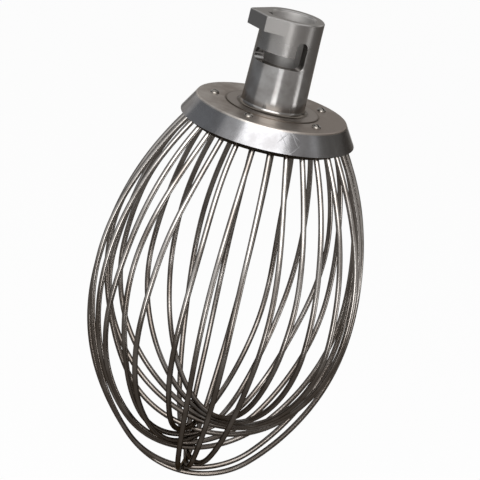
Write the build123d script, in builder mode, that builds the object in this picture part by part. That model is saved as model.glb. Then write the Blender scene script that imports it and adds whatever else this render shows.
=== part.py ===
from build123d import *
import math
import os

# Balloon whisk for a planetary mixer: a bayonet hub, a two-part wire head and a nest of crossing wire loops.
# Millimetres, +Z up. The origin is in the mouth of the drive bore, on its axis, and the wires hang below.

# Drive hub: a turned sleeve that slides over the mixer's shaft
hub_top_d = 44.4
hub_base_d = 46.6
hub_height = 67.8
hub_edge_bevel = 0.8
hub_base_round = 3.0
bore_d = 31.0
bore_depth = 58.0
bore_chamfer = 1.2
foot_d = 68.0
foot_height = 5.0
foot_proud = 0.6
spigot_d = 38.0

# Flat-nosed lug on the hub's top collar: its end face runs from lug_front to lug_back beside the lug's own angle
lug_angle = 220.4
lug_reach = 27.4
lug_front = 3.8
lug_back = 16.4
lug_height = 11.2
lug_corner_round = 0.8

# Bayonet: the shaft's pin goes down the groove, along the slot and up into the notch
entry_angle = 211.0
pin_d = 8.2
pin_clearance = 0.4
pin_reach = 19.0
slot_below_top = 29.5
lock_turn = 88.5
lock_rise = 11.7

# Wire head: an upper cap and a lower plate that clamp the hooked wire ends between them
cap_top_d = 109.6
head_d = 127.4
cap_height = 14.7
cap_edge_round = 1.2
plate_height = 5.0
plate_bevel = 9.0
skirt_wall = 1.5
seat_clearance = 0.1

# Screws that clamp the plate to the cap
screw_count = 5
screw_angle = 34.0
screw_circle_d = 85.0
screw_d = 4.0
screw_head_d = 6.8
screw_head_height = 2.2
screw_head_round = 1.6
screw_bite = 3.6

# Wire loops: each rises from its crossing on the axis, bellies out and leans in to the head
# loop_places has each loop's place round the head, from the lowest crossing up
loop_places = (0, 1, 7, 8, 9, 2, 3, 5, 4, 14, 6, 13, 12, 11, 10)
wire_d = 4.0
wire_circle_d = 115.0
balloon_d = 197.8
belly_below_head = 126.4
balloon_below_head = 275.3
bottom_turn = 46.4
stack_gap = 0.05
first_loop_angle = 0.0
hook_radius = 4.5
hook_length = 4.0
hook_end_gap = 0.8
hole_clearance = 0.1

# Levels that follow from the sizes above
cap_top_z = -hub_height
parting_z = cap_top_z - cap_height
head_bottom_z = parting_z - plate_height
foot_top_z = cap_top_z + foot_proud
foot_seat_z = foot_top_z - foot_height

# Bayonet channel
slot_width = pin_d + pin_clearance
slot_z = -slot_below_top
groove_reach = pin_reach + pin_clearance
lock_angle = entry_angle + lock_turn
past_hub = hub_base_d

# Where every wire leaves the plate: on the wires' circle, through the bevel
wire_r = wire_d / 2
mouth_r = wire_circle_d / 2
mouth_z = parting_z - plate_height * (head_d / 2 - mouth_r) / plate_bevel
hole_r = wire_r + hole_clearance

# Shared upper part of the loops: one arc from the mouth to the upright belly
belly_r = balloon_d / 2 - wire_r
belly_z = head_bottom_z - belly_below_head
wire_lean = 2 * math.degrees(math.atan2(belly_r - mouth_r, mouth_z - belly_z))
shoulder_radius = (mouth_z - belly_z) / math.sin(math.radians(wire_lean))

# Hooked end: above the plate the wire bends in flat and lies in the cap's groove
lean_sin = math.sin(math.radians(wire_lean))
lean_cos = math.cos(math.radians(wire_lean))
bend_z = parting_z + wire_r * lean_sin
bend_r = mouth_r - (bend_z - mouth_z) * lean_sin / lean_cos
hook_center_z = bend_z - hook_radius * lean_sin
hook_center_r = bend_r - hook_radius * lean_cos
hook_z = hook_center_z + hook_radius
hook_end_r = hook_center_r - hook_length
groove_height = hook_z + wire_r + hole_clearance - parting_z
groove_inner_r = hook_end_r - hook_end_gap

# Crossings on the axis, one wire above the other
stack_pitch = wire_d + stack_gap
lowest_axis_z = head_bottom_z - balloon_below_head + wire_r
loop_count = len(loop_places)
loop_step = 180 / loop_count


def upright(angle):
    """The vertical plane through the axis at that angle: x runs outward and y up."""
    direction = math.radians(angle)
    return Plane(
        origin=(0, 0, 0),
        x_dir=(math.cos(direction), math.sin(direction), 0),
        z_dir=(math.sin(direction), -math.cos(direction), 0),
    )


def facing(angle, height):
    """The plane that looks straight out of the hub at that angle: x runs round the hub and y up."""
    direction = math.radians(angle)
    return Plane(
        origin=(0, 0, height),
        x_dir=(-math.sin(direction), math.cos(direction), 0),
        z_dir=(math.cos(direction), math.sin(direction), 0),
    )


# Drive hub
collar_r = hub_top_d / 2
front_touch = math.atan2(lug_front, lug_reach) + math.acos(collar_r / math.hypot(lug_reach, lug_front))
back_touch = math.atan2(lug_back, lug_reach) + math.acos(collar_r / math.hypot(lug_reach, lug_back))
collar_turn = 360 - math.degrees(front_touch + back_touch)
lug_plane = Plane(origin=(0, 0, 0), x_dir=upright(lug_angle).x_dir, z_dir=(0, 0, 1))
entry_plane = Plane(origin=(0, 0, 0), x_dir=upright(entry_angle).x_dir, z_dir=(0, 0, 1))
with BuildPart() as drive_hub:
    with BuildSketch(lug_plane) as collar:
        with BuildLine():
            back = CenterArc((0, 0), collar_r, math.degrees(front_touch), collar_turn)
            Polyline(back @ 1, (lug_reach, -lug_back), (lug_reach, lug_front), back @ 0)
        make_face()
        fillet(collar.vertices().sort_by(Axis.X)[-2:], lug_corner_round)
    extrude(amount=-lug_height)
    chamfer(drive_hub.faces().sort_by(Axis.Z)[-1].edges(), hub_edge_bevel)
    with BuildSketch(Plane.XZ):
        with BuildLine():
            Polyline(
                (0, -lug_height),
                (collar_r, -lug_height),
                (hub_base_d / 2, foot_top_z),
                (foot_d / 2, foot_top_z),
                (foot_d / 2, foot_seat_z),
                (spigot_d / 2, foot_seat_z),
                (spigot_d / 2, parting_z),
                (0, parting_z),
                close=True,
            )
        make_face()
    revolve(axis=Axis.Z)
    foot_edges = drive_hub.edges().filter_by(GeomType.CIRCLE)
    foot_edges = foot_edges.filter_by_position(Axis.Z, foot_top_z, foot_top_z)
    fillet(foot_edges.sort_by(SortBy.RADIUS)[0], hub_base_round)
    with BuildSketch(Plane.XZ):
        with BuildLine():
            Polyline(
                (0, 0),
                (bore_d / 2 + bore_chamfer, 0),
                (bore_d / 2, -bore_chamfer),
                (bore_d / 2, -bore_depth),
                (0, -bore_depth),
                close=True,
            )
        make_face()
    revolve(axis=Axis.Z, mode=Mode.SUBTRACT)
    with BuildSketch(entry_plane):
        Rectangle(groove_reach, slot_width, align=(Align.MIN, Align.CENTER))
    extrude(amount=slot_z, mode=Mode.SUBTRACT)
    with BuildSketch(upright(entry_angle)):
        with Locations((0, slot_z)):
            Rectangle(past_hub, slot_width, align=(Align.MIN, Align.CENTER))
    revolve(axis=Axis.Z, revolution_arc=lock_turn, mode=Mode.SUBTRACT)
    with BuildSketch(facing(entry_angle, slot_z)):
        Circle(slot_width / 2)
    extrude(amount=past_hub, mode=Mode.SUBTRACT)
    with BuildSketch(facing(lock_angle, slot_z)):
        with Locations((0, lock_rise / 2)):
            SlotCenterToCenter(lock_rise, slot_width, rotation=90)
    extrude(amount=past_hub, mode=Mode.SUBTRACT)

# Upper half of the wire head
skirt_lean = math.atan2((head_d - cap_top_d) / 2, cap_height)
wall_across = skirt_wall / math.cos(skirt_lean)
groove_outer_r = head_d / 2 - wall_across
groove_top_r = groove_outer_r - groove_height * math.tan(skirt_lean)
with BuildPart() as head_cap:
    with BuildSketch(Plane.XZ):
        with BuildLine():
            Polyline(
                (foot_d / 2 + seat_clearance, cap_top_z),
                (cap_top_d / 2, cap_top_z),
                (head_d / 2, parting_z),
                (groove_outer_r, parting_z),
                (groove_top_r, parting_z + groove_height),
                (groove_inner_r, parting_z + groove_height),
                (groove_inner_r, parting_z),
                (spigot_d / 2 + seat_clearance, parting_z),
                (spigot_d / 2 + seat_clearance, foot_seat_z),
                (foot_d / 2 + seat_clearance, foot_seat_z),
                close=True,
            )
        make_face()
    revolve(axis=Axis.Z)
    top_edges = head_cap.edges().filter_by(GeomType.CIRCLE)
    top_edges = top_edges.filter_by_position(Axis.Z, cap_top_z, cap_top_z)
    fillet(top_edges.sort_by(SortBy.RADIUS)[-1], cap_edge_round)
    with BuildSketch(Plane.XY.offset(cap_top_z)):
        with PolarLocations(screw_circle_d / 2, screw_count, start_angle=screw_angle):
            Circle(screw_d / 2 + seat_clearance)
    extrude(amount=-cap_height, mode=Mode.SUBTRACT)

# Lower half of the wire head, with a slanting hole for each wire end
with BuildPart() as wire_plate:
    with BuildSketch(Plane.XZ):
        with BuildLine():
            Polyline(
                (0, parting_z),
                (head_d / 2, parting_z),
                (head_d / 2 - plate_bevel, head_bottom_z),
                (0, head_bottom_z),
                close=True,
            )
        make_face()
    revolve(axis=Axis.Z)
    for end in range(2 * loop_count):
        hole_plane = upright(first_loop_angle + end * loop_step)
        wire_way = hole_plane.from_local_coords((lean_sin, -lean_cos))
        with BuildSketch(Plane(hole_plane.from_local_coords((mouth_r, mouth_z)), z_dir=wire_way)):
            Circle(hole_r)
        extrude(amount=plate_height + plate_bevel, both=True, mode=Mode.SUBTRACT)
    with BuildSketch(Plane.XY.offset(parting_z)):
        with PolarLocations(screw_circle_d / 2, screw_count, start_angle=screw_angle):
            Circle(screw_d / 2 + seat_clearance)
    extrude(amount=-screw_bite, mode=Mode.SUBTRACT)

# Clamp screws: round heads on the cap's flat top
screw_end_z = parting_z - screw_bite + seat_clearance
with BuildPart() as clamp_screws:
    with BuildSketch(Plane.XY.offset(screw_end_z)):
        with PolarLocations(screw_circle_d / 2, screw_count, start_angle=screw_angle):
            Circle(screw_d / 2)
    extrude(amount=cap_top_z - screw_end_z)
    with BuildSketch(Plane.XY.offset(cap_top_z)):
        with PolarLocations(screw_circle_d / 2, screw_count, start_angle=screw_angle):
            Circle(screw_head_d / 2)
    extrude(amount=screw_head_height)
    fillet(clamp_screws.edges().group_by(Axis.Z)[-1], screw_head_round)

pieces = {
    "drive_hub": drive_hub.part,
    "head_cap": head_cap.part,
    "wire_plate": wire_plate.part,
    "clamp_screws": clamp_screws.part,
}

# Wire loops, lowest crossing first: two side by side, three laid across them, then the fans between
for index, place in enumerate(loop_places):
    crossing_z = lowest_axis_z + index * stack_pitch
    drop = belly_z - crossing_z
    flank_turn = 90 - bottom_turn
    flank_sin = math.sin(math.radians(flank_turn))
    flank_cos = math.cos(math.radians(flank_turn))
    offset = (drop - belly_r) / (flank_cos + flank_sin - 1)
    flank_radius = belly_r + offset * flank_cos
    bottom_radius = drop - offset * flank_sin
    loop_plane = upright(first_loop_angle + place * loop_step)
    with BuildPart() as whisk_loop:
        with BuildLine(loop_plane) as route:
            CenterArc((0, crossing_z + bottom_radius), bottom_radius, 180 + flank_turn, 2 * bottom_turn)
            for side, start in ((1, 0), (-1, 180)):
                flank_x = side * (belly_r - flank_radius)
                shoulder_x = side * (belly_r - shoulder_radius)
                CenterArc((flank_x, belly_z), flank_radius, start, -side * flank_turn)
                CenterArc((shoulder_x, belly_z), shoulder_radius, start, side * wire_lean)
                Line((side * mouth_r, mouth_z), (side * bend_r, bend_z))
                CenterArc((side * hook_center_r, hook_center_z), hook_radius, 90, -side * (90 - wire_lean))
                Line((side * hook_center_r, hook_z), (side * hook_end_r, hook_z))
        with BuildSketch(Plane(loop_plane.from_local_coords((hook_end_r, hook_z)), z_dir=loop_plane.x_dir)):
            Circle(wire_r)
        sweep(path=route.wire())
    pieces[f"whisk_loop_{index + 1:02d}"] = whisk_loop.part

os.makedirs("parts", exist_ok=True)
for name, piece in pieces.items():
    piece.label = name
    export_step(piece, f"parts/{name}.step")
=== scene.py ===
import math

import bmesh
import bpy
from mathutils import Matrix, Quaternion, Vector


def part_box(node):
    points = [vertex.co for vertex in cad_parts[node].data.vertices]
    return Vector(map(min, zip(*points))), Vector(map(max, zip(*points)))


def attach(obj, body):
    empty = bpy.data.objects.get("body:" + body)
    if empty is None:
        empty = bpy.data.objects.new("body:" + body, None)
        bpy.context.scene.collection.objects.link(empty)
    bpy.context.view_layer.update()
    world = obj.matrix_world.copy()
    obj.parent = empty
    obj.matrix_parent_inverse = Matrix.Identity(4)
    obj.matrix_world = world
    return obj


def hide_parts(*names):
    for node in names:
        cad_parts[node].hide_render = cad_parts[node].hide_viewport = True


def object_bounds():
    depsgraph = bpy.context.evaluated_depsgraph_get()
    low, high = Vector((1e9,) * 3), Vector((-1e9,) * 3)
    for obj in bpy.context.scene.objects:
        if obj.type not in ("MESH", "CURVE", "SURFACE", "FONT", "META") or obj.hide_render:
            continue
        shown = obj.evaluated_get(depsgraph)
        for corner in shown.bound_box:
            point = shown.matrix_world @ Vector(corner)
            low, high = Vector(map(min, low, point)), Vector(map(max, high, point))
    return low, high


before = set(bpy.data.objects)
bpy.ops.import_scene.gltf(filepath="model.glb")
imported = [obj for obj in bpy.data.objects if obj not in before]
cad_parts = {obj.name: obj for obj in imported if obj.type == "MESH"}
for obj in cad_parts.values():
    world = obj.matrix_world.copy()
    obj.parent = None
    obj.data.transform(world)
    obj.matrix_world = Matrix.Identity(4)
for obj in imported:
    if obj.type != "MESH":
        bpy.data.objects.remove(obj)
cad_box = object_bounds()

# Drive hub: a sleeve turned from steel bar, bored for the mixer's shaft and let into the head by its foot.
# The bayonet slot and its notch are milled through the wall, and the lug stands out of the top collar.
MM = 0.001
merge_distance = 0.002 * MM
flat_angle = math.radians(0.6)
sharp_angle = math.radians(28)
edge_break_segments = 2
milled_edge_break = 0.35 * MM
hub_blotch = 16 * MM
bore_edge = 16 * MM
foot_edge = 34 * MM
foot_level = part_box("head_cap")[1].z
foot_band_top = foot_level + 8 * MM
foot_band_full = foot_level + 5 * MM
# Painted shade in the joint between the hub's foot and the cap
joint_painted_shade = "#7d766f"
handled_tint = "#d6d2ce"

# A Mix node's colour sockets and its colour result go by number, because other sockets share their names
colour_a, colour_b, mixed = 6, 7, 2


def linear(hex_colour):
    """An sRGB hex colour as linear red, green, blue and a full alpha."""
    parts = [int(hex_colour[i:i + 2], 16) / 255 for i in (1, 3, 5)]
    return [p / 12.92 if p <= 0.04045 else ((p + 0.055) / 1.055) ** 2.4 for p in parts] + [1.0]


def add(tree, kind, inputs=None, **settings):
    """A new node with its settings; an input given as a socket is linked, and any other is set."""
    made = tree.nodes.new(kind)
    for name, value in settings.items():
        setattr(made, name, value)
    for key, value in (inputs or {}).items():
        if isinstance(value, bpy.types.NodeSocket):
            tree.links.new(value, made.inputs[key])
        else:
            made.inputs[key].default_value = value
    return made


def new_material(name):
    """An empty node material and its tree."""
    made = bpy.data.materials.new(name)
    made.use_nodes = True
    made.node_tree.nodes.clear()
    return made, made.node_tree


def axis_measures(tree, place):
    """A point's distance from the hub's axis, and its height."""
    apart = add(tree, "ShaderNodeSeparateXYZ", {"Vector": place})
    flat = add(tree, "ShaderNodeCombineXYZ", {"X": apart.outputs["X"], "Y": apart.outputs["Y"]})
    out = add(tree, "ShaderNodeVectorMath", {0: flat.outputs[0]}, operation="LENGTH")
    return out.outputs["Value"], apart.outputs["Z"]


def in_scene(name, data):
    """A new object of a mesh, curve, lamp or camera, linked into the scene."""
    made = bpy.data.objects.new(name, data)
    bpy.context.scene.collection.objects.link(made)
    return made


def shade_round(mesh):
    """Shades the round faces of a mesh smooth, up to its sharp edges."""
    mesh.shade_smooth()
    mesh.set_sharp_from_angle(angle=sharp_angle)


def as_modified(piece):
    """A plain mesh of an object as its modifiers leave it."""
    return bpy.data.meshes.new_from_object(piece.evaluated_get(bpy.context.evaluated_depsgraph_get()))


def joined_copy(node, name, edge_break):
    """A solid's triangles with their corners joined, its edges broken and its round faces shaded smooth."""
    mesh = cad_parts[node].data.copy()
    shape = bmesh.new()
    shape.from_mesh(mesh)
    bmesh.ops.remove_doubles(shape, verts=shape.verts, dist=merge_distance)
    bmesh.ops.dissolve_limit(shape, angle_limit=flat_angle, verts=shape.verts, edges=shape.edges)
    shape.to_mesh(mesh)
    shape.free()
    shade_round(mesh)
    mesh.materials.clear()
    piece = in_scene(name, mesh)
    bevel = piece.modifiers.new("Edge break", "BEVEL")
    bevel.width = edge_break
    bevel.segments = edge_break_segments
    bevel.limit_method = "ANGLE"
    bevel.angle_limit = sharp_angle
    even = piece.modifiers.new("Even shading", "WEIGHTED_NORMAL")
    even.keep_sharp = True
    finished = as_modified(piece)
    piece.modifiers.clear()
    piece.data = finished
    return piece


# Carbon steel turned on a lathe and handled bare: a satin grey that draws long soft streaks down the sleeve.
# It is duller on the collar. The bore and the foot are painted paler as painted light,
# and painted shade darkens the corner over the foot and the joint at its edge.
hub_steel, tree = new_material("turned carbon steel")
place = add(tree, "ShaderNodeTexCoord").outputs["Object"]
from_axis, height = axis_measures(tree, place)
at_foot = add(tree, "ShaderNodeMapRange", {
    "Value": height, "From Min": foot_band_top, "From Max": foot_band_full,
})
foot_out = add(tree, "ShaderNodeMath", {0: from_axis, 1: at_foot.outputs[0]}, operation="MULTIPLY").outputs[0]
blotch = add(tree, "ShaderNodeTexNoise", {
    "Vector": place, "Scale": 1 / hub_blotch, "Detail": 5.0, "Roughness": 0.62,
})
tone = add(tree, "ShaderNodeMapRange", {"Value": blotch.outputs["Fac"], "From Min": 0.36, "From Max": 0.66})
colour = add(
    tree, "ShaderNodeMix",
    {"Factor": tone.outputs[0], colour_a: linear("#999897"), colour_b: linear("#817e7c")},
    data_type="RGBA",
).outputs[mixed]
rough = add(tree, "ShaderNodeMapRange", {
    "Value": blotch.outputs["Fac"], "From Min": 0.3, "From Max": 0.7, "To Min": 0.17, "To Max": 0.2,
}).outputs[0]

# Each finish over the turned one: the measure that places it, where it starts and is full, its colour and
# how much rougher it is. Collar, bore painted paler (painted light), faced end, painted shade in the corner,
# foot painted paler (painted light), painted shade in the joint.
hub_finishes_and_painted_light = (
    (height, -34 * MM, -10 * MM, "#807e7c", 0.12),
    # Painted light: the bore is painted paler
    (from_axis, bore_edge, bore_edge - 0.5 * MM, "#b7b5b3", 0.3),
    (height, -0.9 * MM, -0.3 * MM, "#a8a6a4", 0.0),
    # Painted shade in the corner over the foot
    (foot_out, 23.3 * MM, 23.9 * MM, "#6a645e", 0.0),
    # Painted light: the foot is painted paler
    (foot_out, 25.5 * MM, 27 * MM, "#9f9892", 0.2),
    # Painted shade in the joint at the foot's edge
    (foot_out, foot_edge - 1.2 * MM, foot_edge - 0.4 * MM, joint_painted_shade, 0.0),
)
for measure, start, full, shade, rougher in hub_finishes_and_painted_light:
    there = add(tree, "ShaderNodeMapRange", {
        "Value": measure, "From Min": start, "From Max": full,
    }).outputs[0]
    colour = add(
        tree, "ShaderNodeMix",
        {"Factor": there, colour_a: colour, colour_b: linear(shade)},
        data_type="RGBA",
    ).outputs[mixed]
    if rougher:
        rough = add(
            tree, "ShaderNodeMath",
            {0: there, 1: rougher, 2: rough},
            operation="MULTIPLY_ADD",
        ).outputs[0]
surface = add(tree, "ShaderNodeBsdfPrincipled", {
    "Base Color": colour, "Metallic": 1.0, "Roughness": rough, "Specular Tint": linear(handled_tint),
})
add(tree, "ShaderNodeOutputMaterial", {"Surface": surface.outputs[0]})

hub = joined_copy("drive_hub", "hub_sleeve", milled_edge_break)
hub.data.materials.append(hub_steel)
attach(hub, "root")
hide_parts("drive_hub")

# Head cap: the upper half of the wire head, a thick disc turned from aluminium with a flaring skirt.
# The hub's foot sits in its middle and five screws pull the lower half up against it.
cap_edge_break = 0.25 * MM
cap_low, cap_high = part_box("head_cap")
top_from = cap_high.z - 1.6 * MM
top_full = cap_high.z - 0.6 * MM
joint_from = foot_edge + 1.4 * MM
joint_full = foot_edge + 0.5 * MM
cap_blotch = 22 * MM
cap_lathe_line = 0.7 * MM
cap_lathe_depth = 0.02 * MM
top_darker_right_from = 8 * MM
top_darker_right_full = 40 * MM
top_darker_right_share = 0.7
scratch_middle = (17 * MM, -56 * MM, cap_low.z + 7 * MM)
scratch_reach = 9 * MM
scratch_roughness = 0.25
top_roughness = 0.17

# Each set of scratches: its lean in degrees, and the gap between its lines in mm
scratches = ((-44, 13), (41, 7), (58, 11))

# A Wave texture of scale 1 has its bands this far apart, and only the crest of each is a scratch
wave_gap = math.tau / 20
scratch_line_from = 0.975


def lathe_lines(tree, from_axis, height, spacing):
    """Rings left by the lathe: noise that changes only with the distance from the axis and the height."""
    ring = add(tree, "ShaderNodeCombineXYZ", {"X": from_axis, "Z": height})
    return add(tree, "ShaderNodeTexNoise", {"Vector": ring.outputs[0], "Scale": 1 / spacing, "Detail": 3.0})


# Aluminium turned on a lathe: matt and stained brown on the flat top, and worn bright on the skirt, which
# shows a broad soft highlight and a few scratches.
# The lathe lines are drawn at 0.7 mm, coarser than the 0.1 to 0.2 mm of a real cut, so that they show.
cap_metal, tree = new_material("turned aluminium")
place = add(tree, "ShaderNodeTexCoord").outputs["Object"]
from_axis, height = axis_measures(tree, place)
rightwards = add(tree, "ShaderNodeSeparateXYZ", {"Vector": place}).outputs["X"]
lines = lathe_lines(tree, from_axis, height, cap_lathe_line)
blotch = add(tree, "ShaderNodeTexNoise", {
    "Vector": place, "Scale": 1 / cap_blotch, "Detail": 6.0, "Roughness": 0.6,
})
on_top = add(tree, "ShaderNodeMapRange", {
    "Value": height, "From Min": top_from, "From Max": top_full,
}).outputs[0]
tone = add(tree, "ShaderNodeMapRange", {
    "Value": blotch.outputs["Fac"], "From Min": 0.38, "From Max": 0.64,
}).outputs[0]
# The top is darker towards the right
darker_right = add(tree, "ShaderNodeMapRange", {
    "Value": rightwards, "From Min": top_darker_right_from, "From Max": top_darker_right_full, "To Max": top_darker_right_share,
}).outputs[0]
top_tone = add(tree, "ShaderNodeMath", {0: tone, 1: darker_right}, operation="ADD", use_clamp=True)
top_colour = add(
    tree, "ShaderNodeMix",
    {"Factor": top_tone.outputs[0], colour_a: linear("#bfb9b3"), colour_b: linear("#978e87")},
    data_type="RGBA",
)
# Painted shade in the joint round the hub's foot, mixed into the top's colour
in_joint = add(tree, "ShaderNodeMapRange", {
    "Value": from_axis, "From Min": joint_from, "From Max": joint_full,
})
top_with_joint_shade = add(
    tree, "ShaderNodeMix",
    {"Factor": in_joint.outputs[0], colour_a: top_colour.outputs[mixed], colour_b: linear(joint_painted_shade)},
    data_type="RGBA",
)
skirt_colour = add(
    tree, "ShaderNodeMix",
    {"Factor": tone, colour_a: linear("#8e8e90"), colour_b: linear("#787778")},
    data_type="RGBA",
)
colour = add(
    tree, "ShaderNodeMix",
    {"Factor": on_top, colour_a: skirt_colour.outputs[mixed], colour_b: top_with_joint_shade.outputs[mixed]},
    data_type="RGBA",
)
satin = add(tree, "ShaderNodeMapRange", {
    "Value": blotch.outputs["Fac"], "From Min": 0.3, "From Max": 0.7, "To Min": 0.2, "To Max": 0.25,
})
rough = add(
    tree, "ShaderNodeMath",
    {0: on_top, 1: top_roughness, 2: satin.outputs[0]},
    operation="MULTIPLY_ADD",
).outputs[0]
near = add(tree, "ShaderNodeVectorMath", {0: place, 1: scratch_middle}, operation="DISTANCE")
patch = add(tree, "ShaderNodeMapRange", {
    "Value": near.outputs["Value"], "From Min": scratch_reach, "From Max": scratch_reach / 2,
})
for lean, gap in scratches:
    across = add(tree, "ShaderNodeMapping", {
        "Vector": place, "Rotation": (0, math.radians(lean), 0), "Scale": (1, 0, 1),
    })
    bands = add(tree, "ShaderNodeTexWave", {
        "Vector": across.outputs[0], "Scale": wave_gap / (gap * MM), "Distortion": 2.0,
    })
    line = add(tree, "ShaderNodeMapRange", {
        "Value": bands.outputs["Fac"], "From Min": scratch_line_from, "From Max": 1.0,
    })
    scratch = add(tree, "ShaderNodeMath", {0: line.outputs[0], 1: patch.outputs[0]}, operation="MULTIPLY")
    rough = add(
        tree, "ShaderNodeMath",
        {0: scratch.outputs[0], 1: scratch_roughness, 2: rough},
        operation="MULTIPLY_ADD",
    ).outputs[0]
relief = add(tree, "ShaderNodeBump", {
    "Strength": 0.04, "Distance": cap_lathe_depth, "Height": lines.outputs["Fac"],
})
surface = add(tree, "ShaderNodeBsdfPrincipled", {
    "Base Color": colour.outputs[mixed],
    "Metallic": 1.0,
    "Roughness": rough,
    "Specular Tint": linear(handled_tint),
    "Normal": relief.outputs[0],
})
add(tree, "ShaderNodeOutputMaterial", {"Surface": surface.outputs[0]})

cap = joined_copy("head_cap", "head_cap_turned", cap_edge_break)
cap.data.materials.append(cap_metal)
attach(cap, "root")
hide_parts("head_cap")

# Clamp screws: round-headed steel screws with a plain slot, turned down tight on the cap's flat top.
# The slots are left at whatever angle each screw came tight.
screw_count = 5
screw_circle_radius = 42.5 * MM
first_screw_angle = math.radians(34)
screw_head_radius = 3.4 * MM
screw_head_height = 2.2 * MM
slot_width = 1.1 * MM
slot_depth = 1.2 * MM
slot_seed = 4
dome_segments = 40
dome_rings = 24
block_to_head = 4.0
screw_grain = 1.5 * MM

# Bright steel from the screw machine: a small hard highlight on each dome, clouded by washing.
# The clouding's grain is drawn coarser than the real film, so that it shows on so small a head.
screw_steel, tree = new_material("bright screw steel")
place = add(tree, "ShaderNodeTexCoord").outputs["Object"]
grain = add(tree, "ShaderNodeTexNoise", {"Vector": place, "Scale": 1 / screw_grain, "Detail": 4.0})
tone = add(
    tree, "ShaderNodeMix",
    {"Factor": grain.outputs["Fac"], colour_a: linear("#8f8b86"), colour_b: linear("#75706a")},
    data_type="RGBA",
)
rough = add(tree, "ShaderNodeMapRange", {"Value": grain.outputs["Fac"], "To Min": 0.2, "To Max": 0.34})
surface = add(tree, "ShaderNodeBsdfPrincipled", {
    "Base Color": tone.outputs[mixed], "Metallic": 1.0, "Roughness": rough.outputs[0],
})
add(tree, "ShaderNodeOutputMaterial", {"Surface": surface.outputs[0]})


def new_tree(name, inputs):
    """A Geometry Nodes tree with those named inputs, the sockets of its input node, and a mesh output."""
    made = bpy.data.node_groups.new(name, "GeometryNodeTree")
    for label, kind in inputs.items():
        made.interface.new_socket(label, in_out="INPUT", socket_type=kind)
    made.interface.new_socket("Mesh", in_out="OUTPUT", socket_type="NodeSocketGeometry")
    return made, add(made, "NodeGroupInput").outputs


def grown(base, tree, values, name):
    """A plain mesh object made by the tree on the base object, which is then removed."""
    modifier = base.modifiers.new(tree.name, "NODES")
    modifier.node_group = tree
    for socket in tree.interface.items_tree:
        if socket.in_out == "INPUT" and socket.name in values:
            modifier[socket.identifier] = values[socket.name]
    mesh = as_modified(base)
    bpy.data.objects.remove(base)
    shade_round(mesh)
    return in_scene(name, mesh)


screw_tree, given = new_tree("Slotted round heads", {
    "Geometry": "NodeSocketGeometry",
    "Count": "NodeSocketInt",
    "Circle Radius": "NodeSocketFloat",
    "First Angle": "NodeSocketFloat",
    "Head Radius": "NodeSocketFloat",
    "Head Height": "NodeSocketFloat",
    "Slot Width": "NodeSocketFloat",
    "Slot Depth": "NodeSocketFloat",
    "Seat Height": "NodeSocketFloat",
    "Seed": "NodeSocketInt",
    "Steel": "NodeSocketMaterial",
})

# The dome is a flattened ball, cut off at its seat by a block that is larger than the head
ball = add(screw_tree, "GeometryNodeMeshUVSphere", {
    "Segments": dome_segments, "Rings": dome_rings, "Radius": 1.0,
})
dome_size = add(screw_tree, "ShaderNodeCombineXYZ", {
    "X": given["Head Radius"], "Y": given["Head Radius"], "Z": given["Head Height"],
})
dome = add(screw_tree, "GeometryNodeTransform", {
    "Geometry": ball.outputs["Mesh"], "Scale": dome_size.outputs[0],
})
side = add(
    screw_tree, "ShaderNodeMath",
    {0: given["Head Radius"], 1: block_to_head},
    operation="MULTIPLY",
).outputs[0]
half_side = add(screw_tree, "ShaderNodeMath", {0: side, 1: 0.5}, operation="MULTIPLY").outputs[0]
block_size = add(screw_tree, "ShaderNodeCombineXYZ", {"X": side, "Y": side, "Z": side})
block = add(screw_tree, "GeometryNodeMeshCube", {"Size": block_size.outputs[0]})
above = add(screw_tree, "ShaderNodeCombineXYZ", {"Z": half_side})
above_seat = add(screw_tree, "GeometryNodeTransform", {
    "Geometry": block.outputs["Mesh"], "Translation": above.outputs[0],
})
head = add(
    screw_tree, "GeometryNodeMeshBoolean",
    {1: dome.outputs[0]},
    operation="INTERSECT", solver="EXACT",
)
# Both shapes go into the one socket, which takes many
screw_tree.links.new(above_seat.outputs[0], head.inputs[1])

# A second block, as wide as the slot, is cut out of the dome
cutter_size = add(screw_tree, "ShaderNodeCombineXYZ", {"X": side, "Y": given["Slot Width"], "Z": side})
cutter = add(screw_tree, "GeometryNodeMeshCube", {"Size": cutter_size.outputs[0]})
slot_floor = add(
    screw_tree, "ShaderNodeMath",
    {0: given["Head Height"], 1: given["Slot Depth"]},
    operation="SUBTRACT",
)
slot_middle = add(screw_tree, "ShaderNodeMath", {0: slot_floor.outputs[0], 1: half_side}, operation="ADD")
slot_place = add(screw_tree, "ShaderNodeCombineXYZ", {"Z": slot_middle.outputs[0]})
slot_cut = add(screw_tree, "GeometryNodeTransform", {
    "Geometry": cutter.outputs["Mesh"], "Translation": slot_place.outputs[0],
})
slotted = add(
    screw_tree, "GeometryNodeMeshBoolean",
    {0: head.outputs[0], 1: slot_cut.outputs[0]},
    operation="DIFFERENCE", solver="EXACT",
)

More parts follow.
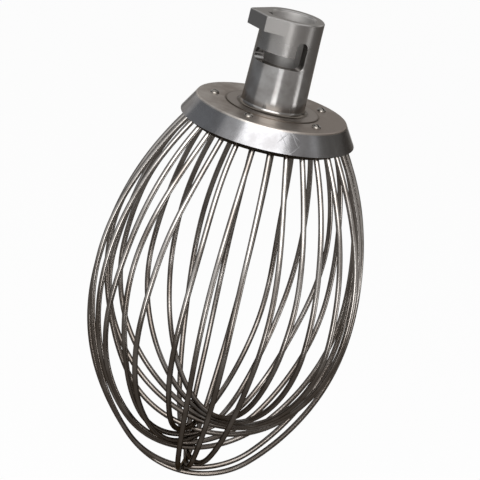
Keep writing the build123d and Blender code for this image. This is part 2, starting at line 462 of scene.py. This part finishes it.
# One head stands on each corner of a turned circle, with its slot at an angle of its own.
# A Random Value node's plain numbers go by number too: least, most and result
least, most, drawn = 2, 3, 1
circle = add(screw_tree, "GeometryNodeMeshCircle", {
    "Vertices": given["Count"], "Radius": given["Circle Radius"],
})
seat = add(screw_tree, "ShaderNodeCombineXYZ", {"Z": given["Seat Height"]})
turn = add(screw_tree, "ShaderNodeCombineXYZ", {"Z": given["First Angle"]})
seats = add(screw_tree, "GeometryNodeTransform", {
    "Geometry": circle.outputs["Mesh"], "Translation": seat.outputs[0], "Rotation": turn.outputs[0],
})
tight_angle = add(
    screw_tree, "FunctionNodeRandomValue",
    {least: 0.0, most: math.pi, "Seed": given["Seed"]},
    data_type="FLOAT",
)
tight_turn = add(screw_tree, "ShaderNodeCombineXYZ", {"Z": tight_angle.outputs[drawn]})
placed = add(screw_tree, "GeometryNodeInstanceOnPoints", {
    "Points": seats.outputs[0], "Instance": slotted.outputs[0], "Rotation": tight_turn.outputs[0],
})
real = add(screw_tree, "GeometryNodeRealizeInstances", {"Geometry": placed.outputs[0]})
steel = add(screw_tree, "GeometryNodeSetMaterial", {
    "Geometry": real.outputs[0], "Material": given["Steel"],
})
add(screw_tree, "NodeGroupOutput", {"Mesh": steel.outputs[0]})

screws = grown(
    in_scene("screw_base", bpy.data.meshes.new("screw_base")),
    screw_tree,
    {
        "Count": screw_count,
        "Circle Radius": screw_circle_radius,
        "First Angle": first_screw_angle,
        "Head Radius": screw_head_radius,
        "Head Height": screw_head_height,
        "Slot Width": slot_width,
        "Slot Depth": slot_depth,
        "Seat Height": cap_high.z,
        "Seed": slot_seed,
        "Steel": screw_steel,
    },
    "clamp_screw_heads",
)
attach(screws, "root")
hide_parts("clamp_screws")

# Wire plate: the lower half of the wire head, a turned aluminium disc with a bevelled edge.
# Each wire end comes out through its own slanting hole in the bevel.
plate_low, plate_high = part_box("wire_plate")
plate_edge_break = 0.2 * MM
plate_blotch = 9 * MM
plate_lathe_line = 0.8 * MM
plate_lathe_depth = 0.03 * MM

# The cap's aluminium, dull and with weak highlights, in dark brown tones that are painted shade under the
# cap's skirt.
# Its lathe lines are drawn coarser than real too, so that they show.
plate_metal, tree = new_material("dull turned aluminium")
place = add(tree, "ShaderNodeTexCoord").outputs["Object"]
from_axis, height = axis_measures(tree, place)
lines = lathe_lines(tree, from_axis, height, plate_lathe_line)
blotch = add(tree, "ShaderNodeTexNoise", {"Vector": place, "Scale": 1 / plate_blotch, "Detail": 5.0})
# Painted shade: dark brown tones, and a dark specular tint below, for the shade under the skirt
tone = add(
    tree, "ShaderNodeMix",
    {"Factor": blotch.outputs["Fac"], colour_a: linear("#6a635b"), colour_b: linear("#4a433b")},
    data_type="RGBA",
)
rough = add(tree, "ShaderNodeMapRange", {
    "Value": blotch.outputs["Fac"], "From Min": 0.3, "From Max": 0.7, "To Min": 0.34, "To Max": 0.5,
})
relief = add(tree, "ShaderNodeBump", {
    "Strength": 0.15, "Distance": plate_lathe_depth, "Height": lines.outputs["Fac"],
})
surface = add(tree, "ShaderNodeBsdfPrincipled", {
    "Base Color": tone.outputs[mixed],
    "Metallic": 1.0,
    "Roughness": rough.outputs[0],
    "Specular Tint": linear("#6a635b"),
    "Normal": relief.outputs[0],
})
add(tree, "ShaderNodeOutputMaterial", {"Surface": surface.outputs[0]})

plate = joined_copy("wire_plate", "wire_plate_drilled", plate_edge_break)
plate.data.materials.append(plate_metal)
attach(plate, "root")
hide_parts("wire_plate")

# Whisk loops: hard-drawn steel wire bent to a hoop, with a hook at each end that the head's halves grip.
# They cross one above the other on the axis, and long use has left each a little out of true.
first_low, first_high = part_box("whisk_loop_01")
wire_radius = 2.0 * MM
wire_circle_radius = 57.5 * MM
plate_bevel = 9.0 * MM
belly_below_head = 126.4 * MM
bottom_turn = math.radians(46.4)
hook_radius = 4.5 * MM
hook_length = 4.0 * MM
wire_sides = 20
point_spacing = 2.0 * MM
arc_steps = 48
wire_stain_patch = 26 * MM
# Painted shade darkens the wires from the upper level down to the nest
nest_level = first_low.z + 70 * MM
unshaded_level = first_low.z + 210 * MM
nest_painted_shade = 0.34

# Each loop's place round the head, in fifteenths of a half turn, from the lowest crossing up
loop_places = (0, 1, 7, 8, 9, 2, 3, 5, 4, 14, 6, 13, 12, 11, 10)

# Each loop's upper and lower bend out of true, in mm to the right: on its first half, then on its second
loop_bends = (
    (-2, -1, 0, -3), (-5, -2, -2, 1), (0, 0, -1, 1), (2, 3, -1, 0), (-3, 0, 4, 0),
    (0, 1, -1, 1), (-3, -2, 1, -2), (-1, -3, -4, -5), (3, -3, -4, 2), (-1, 6, -1, -2),
    (-2, 2, 4, 3), (0, -3, 3, 0), (-6, -6, 1, 1), (1, 0, -1, -2), (-2, 1, 2, -3),
)
upper_bend_at = 0.33
lower_bend_at = 0.62
bend_spread = 0.31

# The loop's profile: a shoulder arc from the mouth of its hole to the belly, a flank arc and a bottom arc
belly_radius = (first_high.x - first_low.x) / 2 - wire_radius
belly_height = plate_low.z - belly_below_head
bevel_slope = (plate_high.z - plate_low.z) / plate_bevel
mouth_height = plate_high.z - bevel_slope * (plate_high.x - wire_circle_radius)
wire_lean = 2 * math.atan2(belly_radius - wire_circle_radius, mouth_height - belly_height)
shoulder_radius = (mouth_height - belly_height) / math.sin(wire_lean)
hook_height = plate_high.z + wire_radius * math.sin(wire_lean)
hook_out = wire_circle_radius - (hook_height - mouth_height) * math.tan(wire_lean)
hook_middle = Vector((
    hook_out - hook_radius * math.cos(wire_lean),
    hook_height - hook_radius * math.sin(wire_lean),
))
flank_turn = math.pi / 2 - bottom_turn


def arc(middle, radius, start, end):
    """Points along an arc in the loop's own upright plane."""
    turns = [start + (end - start) * step / arc_steps for step in range(arc_steps + 1)]
    return [Vector((middle[0] + radius * math.cos(t), middle[1] + radius * math.sin(t))) for t in turns]


def bend(share, upper, lower):
    """How far a wire is bent, at a share of the way from the head to its crossing."""
    total = 0.0
    for size, middle in ((upper, upper_bend_at), (lower, lower_bend_at)):
        away = min(abs(share - middle) / bend_spread, 1.0)
        total += size * MM * (0.5 + 0.5 * math.cos(math.pi * away))
    return total


def loop_line(crossing, angle, bends):
    """A loop's centre line from hooked end to hooked end."""
    drop = belly_height - crossing
    offset = (drop - belly_radius) / (math.cos(flank_turn) + math.sin(flank_turn) - 1)
    flank_radius = belly_radius + offset * math.cos(flank_turn)
    bottom_radius = drop - offset * math.sin(flank_turn)
    hook = [hook_middle + Vector((-hook_length, hook_radius))]
    hook += arc(hook_middle, hook_radius, math.pi / 2, wire_lean)
    free = arc((belly_radius - shoulder_radius, belly_height), shoulder_radius, wire_lean, 0)
    free += arc((belly_radius - flank_radius, belly_height), flank_radius, 0, -flank_turn)[1:]
    free += arc((0, crossing + bottom_radius), bottom_radius, -flank_turn, -math.pi / 2)[1:]
    run = [0.0]
    for before, after in zip(free, free[1:]):
        run.append(run[-1] + (after - before).length)
    shares = [0.0] * len(hook) + [length / run[-1] for length in run]
    halves = []
    for side, upper, lower in ((1, *bends[:2]), (-1, *bends[2:])):
        halves.append([
            (side * out * math.cos(angle) + bend(share, upper, lower), side * out * math.sin(angle), up)
            for (out, up), share in zip(hook + free, shares)
        ])
    return halves[0] + halves[1][-2::-1]


# Steel wire drawn hard through a die: smooth along its length, so that each wire shows a thin bright line
# between dark sides. Brown stains lie on it in soft patches, and painted shade darkens it towards the nest of
# crossings.
wire_steel, tree = new_material("hard drawn steel wire")
place = add(tree, "ShaderNodeTexCoord").outputs["Object"]
height = add(tree, "ShaderNodeSeparateXYZ", {"Vector": place}).outputs["Z"]
patch = add(tree, "ShaderNodeTexNoise", {
    "Vector": place, "Scale": 1 / wire_stain_patch, "Detail": 2.0, "Roughness": 0.5,
})
# Painted shade: darker towards the nest of crossings at the bottom
nest = add(tree, "ShaderNodeMapRange", {
    "Value": height, "From Min": nest_level, "From Max": unshaded_level, "To Min": nest_painted_shade, "To Max": 0.0,
})
# Stain patches and the painted shade of the nest, together
stain_and_nest_shade = add(
    tree, "ShaderNodeMath",
    {0: patch.outputs["Fac"], 1: nest.outputs[0]},
    operation="ADD",
).outputs[0]
stain_and_shade_share = add(tree, "ShaderNodeMapRange", {"Value": stain_and_nest_shade, "From Min": 0.46, "From Max": 0.8})
colour = add(
    tree, "ShaderNodeMix",
    {"Factor": stain_and_shade_share.outputs[0], colour_a: linear("#a29e9a"), colour_b: linear("#706963")},
    data_type="RGBA",
)
rough = add(tree, "ShaderNodeMapRange", {
    "Value": stain_and_nest_shade, "From Min": 0.35, "From Max": 0.9, "To Min": 0.18, "To Max": 0.22,
})
surface = add(tree, "ShaderNodeBsdfPrincipled", {
    "Base Color": colour.outputs[mixed],
    "Metallic": 1.0,
    "Roughness": rough.outputs[0],
    "Specular Tint": linear("#8a847e"),
})
add(tree, "ShaderNodeOutputMaterial", {"Surface": surface.outputs[0]})

wire_tree, given = new_tree("Bent wire", {
    "Geometry": "NodeSocketGeometry",
    "Wire Radius": "NodeSocketFloat",
    "Sides": "NodeSocketInt",
    "Spacing": "NodeSocketFloat",
    "Steel": "NodeSocketMaterial",
})
spaced = add(
    wire_tree, "GeometryNodeResampleCurve",
    {"Curve": given["Geometry"], "Length": given["Spacing"]},
    mode="LENGTH",
)
section = add(wire_tree, "GeometryNodeCurvePrimitiveCircle", {
    "Resolution": given["Sides"], "Radius": given["Wire Radius"],
})
wire = add(wire_tree, "GeometryNodeCurveToMesh", {
    "Curve": spaced.outputs[0], "Profile Curve": section.outputs[0], "Fill Caps": True,
})
real = add(wire_tree, "GeometryNodeRealizeInstances", {"Geometry": wire.outputs[0]})
steel = add(wire_tree, "GeometryNodeSetMaterial", {"Geometry": real.outputs[0], "Material": given["Steel"]})
add(wire_tree, "NodeGroupOutput", {"Mesh": steel.outputs[0]})

for index, place_round in enumerate(loop_places):
    node = f"whisk_loop_{index + 1:02d}"
    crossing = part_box(node)[0].z + wire_radius
    angle = place_round * math.pi / len(loop_places)
    curve = bpy.data.curves.new(node + "_line", "CURVE")
    curve.dimensions = "3D"
    spline = curve.splines.new("POLY")
    points = loop_line(crossing, angle, loop_bends[index])
    spline.points.add(len(points) - 1)
    for line_point, point in zip(spline.points, points):
        line_point.co = (*point, 1.0)
    loop = grown(
        in_scene(node + "_line", curve),
        wire_tree,
        {
            "Wire Radius": wire_radius,
            "Sides": wire_sides,
            "Spacing": point_spacing,
            "Steel": wire_steel,
        },
        node + "_wire",
    )
    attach(loop, "root")
    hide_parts(node)

# Studio: a plain pale floor well under the hanging whisk, and a white surround.
# A broad soft box in front lights the head, and two upright strips draw the lines on the hub and the wires.
# Grey cards stand round the whisk and show only in its metal, as the darker parts of a room do.
floor_gap = 150 * MM
floor_half = 6.0
floor_height = cad_box[0].z - floor_gap
floor_white = 0.93
surround_light = 0.6
surround_white = 1.0


def seen_plainly(tree):
    """1 for what the camera sees directly, in metal or through glass, and 0 for what lights the whisk."""
    ray = add(tree, "ShaderNodeLightPath")
    seen = ray.outputs["Is Camera Ray"]
    for kind in ("Is Glossy Ray", "Is Transmission Ray"):
        seen = add(tree, "ShaderNodeMath", {0: seen, 1: ray.outputs[kind]}, operation="MAXIMUM").outputs[0]
    return seen


def stage_mesh(name, points, faces, paint):
    """A mesh object of the studio, in one paint."""
    mesh = bpy.data.meshes.new(name)
    mesh.from_pydata(points, [], faces)
    mesh.materials.append(paint)
    return in_scene(name, mesh)


# Matt white paint: near white to the camera and in reflections, with a trace of the whisk's shadow.
# It isn't sampled as a lamp, because it adds no light to the whisk.
floor_paint, tree = new_material("matt white floor paint")
matt = add(tree, "ShaderNodeBsdfDiffuse", {"Color": linear("#fafafa")})
glow = add(tree, "ShaderNodeEmission", {"Color": linear("#ffffff"), "Strength": 1.0})
white_share = add(tree, "ShaderNodeMath", {0: seen_plainly(tree), 1: floor_white}, operation="MULTIPLY")
both = add(tree, "ShaderNodeMixShader", {0: white_share.outputs[0], 1: matt.outputs[0], 2: glow.outputs[0]})
add(tree, "ShaderNodeOutputMaterial", {"Surface": both.outputs[0]})
floor_paint.cycles.emission_sampling = "NONE"

floor = stage_mesh(
    "studio_floor",
    [(x * floor_half, y * floor_half, floor_height) for x, y in ((-1, -1), (1, -1), (1, 1), (-1, 1))],
    [(0, 1, 2, 3)],
    floor_paint,
)

world = bpy.data.worlds.new("white surround")
bpy.context.scene.world = world
world.use_nodes = True
tree = world.node_tree
tree.nodes.clear()
strength = add(tree, "ShaderNodeMapRange", {
    "Value": seen_plainly(tree), "To Min": surround_light, "To Max": surround_white,
})
sky = add(tree, "ShaderNodeBackground", {"Color": linear("#ffffff"), "Strength": strength.outputs[0]})
add(tree, "ShaderNodeOutputWorld", {"Surface": sky.outputs[0]})

look_at = Vector((0, 0, -177.8 * MM))


def soft_box(name, azimuth, elevation, distance, width, height, power):
    """An area light that faces the whisk; azimuth 0 is the camera's side and 90 its right."""
    lamp = bpy.data.lights.new(name, "AREA")
    lamp.shape = "RECTANGLE"
    lamp.size = width
    lamp.size_y = height
    lamp.energy = power
    made = in_scene(name, lamp)
    a = math.radians(azimuth)
    e = math.radians(elevation)
    away = Vector((math.sin(a) * math.cos(e), -math.cos(a) * math.cos(e), math.sin(e)))
    made.location = look_at + away * distance
    made.rotation_mode = "QUATERNION"
    made.rotation_quaternion = (-away).to_track_quat("-Z", "Y")
    made.visible_camera = False


soft_box("front_soft_box", azimuth=-1, elevation=33, distance=1.1, width=1.05, height=0.92, power=13.4)
soft_box("front_strip", azimuth=1, elevation=-22, distance=0.9, width=0.24, height=0.55, power=2.6)
soft_box("right_strip", azimuth=80, elevation=-22, distance=0.9, width=0.2, height=0.55, power=1.5)

card_distance = 1.2
card_steps = 12
rim_steps = 48
floor_card_lift = 2 * MM
split_height = -0.1
low_top = 0.3
back_top = 1.2
tall_top = 1.5


def card_point(azimuth, height):
    """A point at the cards' distance from the hub's axis."""
    return math.sin(azimuth) * card_distance, -math.cos(azimuth) * card_distance, height


def reflected_only(name, points, faces, shade):
    """A card of one even grey that shows only in the whisk's metal, and lights and shades nothing."""
    paint, tree = new_material("matt grey card")
    grey = add(tree, "ShaderNodeEmission", {"Color": linear(shade)})
    add(tree, "ShaderNodeOutputMaterial", {"Surface": grey.outputs[0]})
    paint.cycles.emission_sampling = "NONE"
    card = stage_mesh(name, points, faces, paint)
    card.visible_camera = False
    card.visible_diffuse = False
    card.visible_shadow = False


def grey_card(name, first_azimuth, last_azimuth, base, top, shade):
    """A curved grey card that stands round the whisk between two azimuths and two heights."""
    points = []
    for step in range(card_steps + 1):
        azimuth = math.radians(first_azimuth + (last_azimuth - first_azimuth) * step / card_steps)
        points += [card_point(azimuth, base), card_point(azimuth, top)]
    faces = [(low, low + 2, low + 3, low + 1) for low in range(0, 2 * card_steps, 2)]
    reflected_only(name, points, faces, shade)


grey_card("left_card", -128, -70, floor_height, tall_top, "#a3a5a8")
grey_card("left_back_card", -165, -128, floor_height, split_height, "#a0a0a0")
grey_card("front_card", 8, 74, floor_height, tall_top, "#c6c3c1")
grey_card("right_card", 85, 165, floor_height, split_height, "#969390")
grey_card("upper_right_card", 85, 128, split_height, tall_top, "#8d8a85")
grey_card("far_right_card", 128, 152, split_height, low_top, "#6b6762")
grey_card("back_card", 152, 209, split_height, back_top, "#bcbcbc")
reflected_only(
    "floor_card",
    [card_point(math.tau * step / rim_steps, floor_height + floor_card_lift) for step in range(rim_steps)],
    [tuple(range(rim_steps))],
    "#8f8b87",
)

# Camera: a long lens on the photograph's side, a little above the head.
# It is rolled so that the hub leans to the right, and shifted to the photograph's framing.
camera_distance = 1.503
camera_elevation = math.radians(18.38)
camera_roll = math.radians(13.86)
focal_pixels = 2055
picture_pixels = 480
sensor_mm = 36
shift_right_pixels = -2.77
shift_down_pixels = 8.91

lens = bpy.data.cameras.new("photograph_camera")
lens.sensor_width = sensor_mm
lens.lens = focal_pixels / picture_pixels * sensor_mm
lens.shift_x = -shift_right_pixels / picture_pixels
lens.shift_y = shift_down_pixels / picture_pixels
camera = in_scene("photograph_camera", lens)
back = Vector((0, -math.cos(camera_elevation), math.sin(camera_elevation)))
camera.location = look_at + back * camera_distance
camera.rotation_mode = "QUATERNION"
camera.rotation_quaternion = (-back).to_track_quat("-Z", "Y") @ Quaternion((0, 0, 1), camera_roll)
bpy.context.scene.camera = camera
bpy.context.scene.view_settings.view_transform = "Standard"
